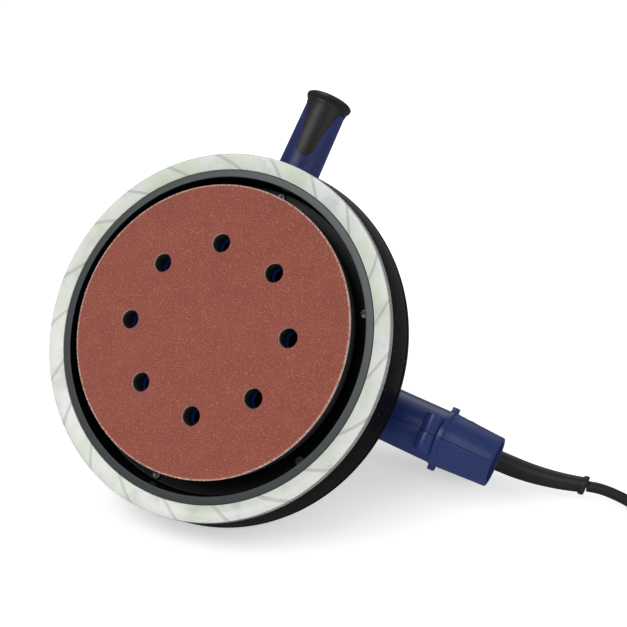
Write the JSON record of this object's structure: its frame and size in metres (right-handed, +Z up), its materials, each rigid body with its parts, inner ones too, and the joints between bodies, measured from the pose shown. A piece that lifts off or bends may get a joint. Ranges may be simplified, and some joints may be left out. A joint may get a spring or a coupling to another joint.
{
  "type": "orbital sander",
  "caption": "Electric random-orbit sander lying on a floor: round perforated pad in a drum shroud with a light ring, side handle, rear handle, dust tube, and cord with plug.",
  "frame": {"origin": "centre of the footprint of the tool, without its free cord, on the floor that it lies on", "axes": "+Z up from the floor, +X towards the rear handle and the cord, +Y away from the abrasive face"},
  "size_m": [0.4936, 0.2274, 0.2352],
  "materials": {
    "abrasive": "fine grit, matt",
    "hook": "loop fabric",
    "foam": "closed-cell foam",
    "blue_plate": "satin",
    "navy_plastic": "satin moulded",
    "navy_duct": "satin moulded",
    "gloss_black": "glossy moulded",
    "lip_grey": "satin",
    "pearl": "translucent pearl",
    "board": "solder mask",
    "lamp": "phosphor",
    "soft_grip": "soft overmould",
    "steel": "machined",
    "screw_steel": "blackened",
    "alloy": "die cast",
    "iron": "laminated",
    "copper": "enamelled wire",
    "brass": "stamped",
    "carbon": "graphite",
    "black_plastic": "moulded",
    "control_red": "moulded",
    "rocker_grey": "moulded",
    "cord_rubber": "rubber sheath"
  },
  "bodies": {
    "housing": {"drum_shell": "gloss_black", "skirt_ring": "lip_grey", "skirt_screws": "screw_steel", "light_ring": "pearl", "led_board": "board", "led_chips": "lamp", "bearing_plate": "alloy", "plate_screws": "screw_steel", "lower_bearing": "steel", "upper_bearing": "steel", "motor_housing": "navy_plastic", "housing_screws": "screw_steel", "motor_cap": "black_plastic", "cap_screws": "screw_steel", "stator_core": "iron", "field_coils": "copper", "brush_holders": "brass", "carbon_brushes": "carbon", "handle_left": "navy_plastic", "handle_right": "navy_plastic", "handle_grip": "soft_grip", "handle_screws": "screw_steel", "switch_module": "black_plastic", "cord_clamp": "black_plastic", "clamp_screws": "screw_steel", "cord_boot": "cord_rubber", "dust_elbow": "black_plastic", "elbow_screws": "screw_steel", "dust_tube_left": "navy_duct", "dust_tube_right": "navy_duct", "tube_screw": "screw_steel", "side_handle_core": "navy_plastic", "side_handle_grip": "soft_grip", "side_stud": "steel", "power_cord": "cord_rubber", "cord_coil": "cord_rubber", "plug_lead": "cord_rubber", "plug_body": "cord_rubber", "plug_pins": "steel"},
    "spindle": {"orbit_bearing": "steel", "eccentric_hub": "alloy", "counterweight": "iron", "armature_shaft": "steel", "armature_core": "iron", "armature_windings": "copper", "commutator": "copper", "cooling_fan": "black_plastic"},
    "pad": {"abrasive_disc": "abrasive", "hook_layer": "hook", "foam_pad": "foam", "pad_plate": "blue_plate", "pad_spindle": "steel", "pad_screw": "screw_steel"},
    "slide_switch": {"slide_switch": "control_red"},
    "speed_dial": {"speed_dial": "control_red"},
    "light_switch": {"light_switch": "rocker_grey"}
  },
  "joints": [
    {"name": "spindle_spin", "type": "hinge", "parent": "housing", "child": "spindle", "pos_m": [-0.05279, -0.00394, 0.08939], "axis": [0.3164, 0.7678, -0.5571], "continuous": true},
    {"name": "pad_spin", "type": "hinge", "parent": "spindle", "child": "pad", "pos_m": [-0.05956, -0.02107, 0.10322], "axis": [0.3164, 0.7678, -0.5571], "continuous": true},
    {"name": "power_slide", "type": "slide", "parent": "housing", "child": "slide_switch", "axis": [0.8568, -0.4833, -0.1795], "range_m": [0, 0.006]},
    {"name": "speed_turn", "type": "hinge", "parent": "housing", "child": "speed_dial", "pos_m": [0.02805, 0.03327, 0.05196], "axis": [0.4071, 0.4205, 0.8108], "range_deg": [0, 270]},
    {"name": "light_rocker", "type": "hinge", "parent": "housing", "child": "light_switch", "pos_m": [0.01249, 0.0172, 0.02098], "axis": [0.3164, 0.7678, -0.5571], "range_deg": [-6, 6]}
  ]
}
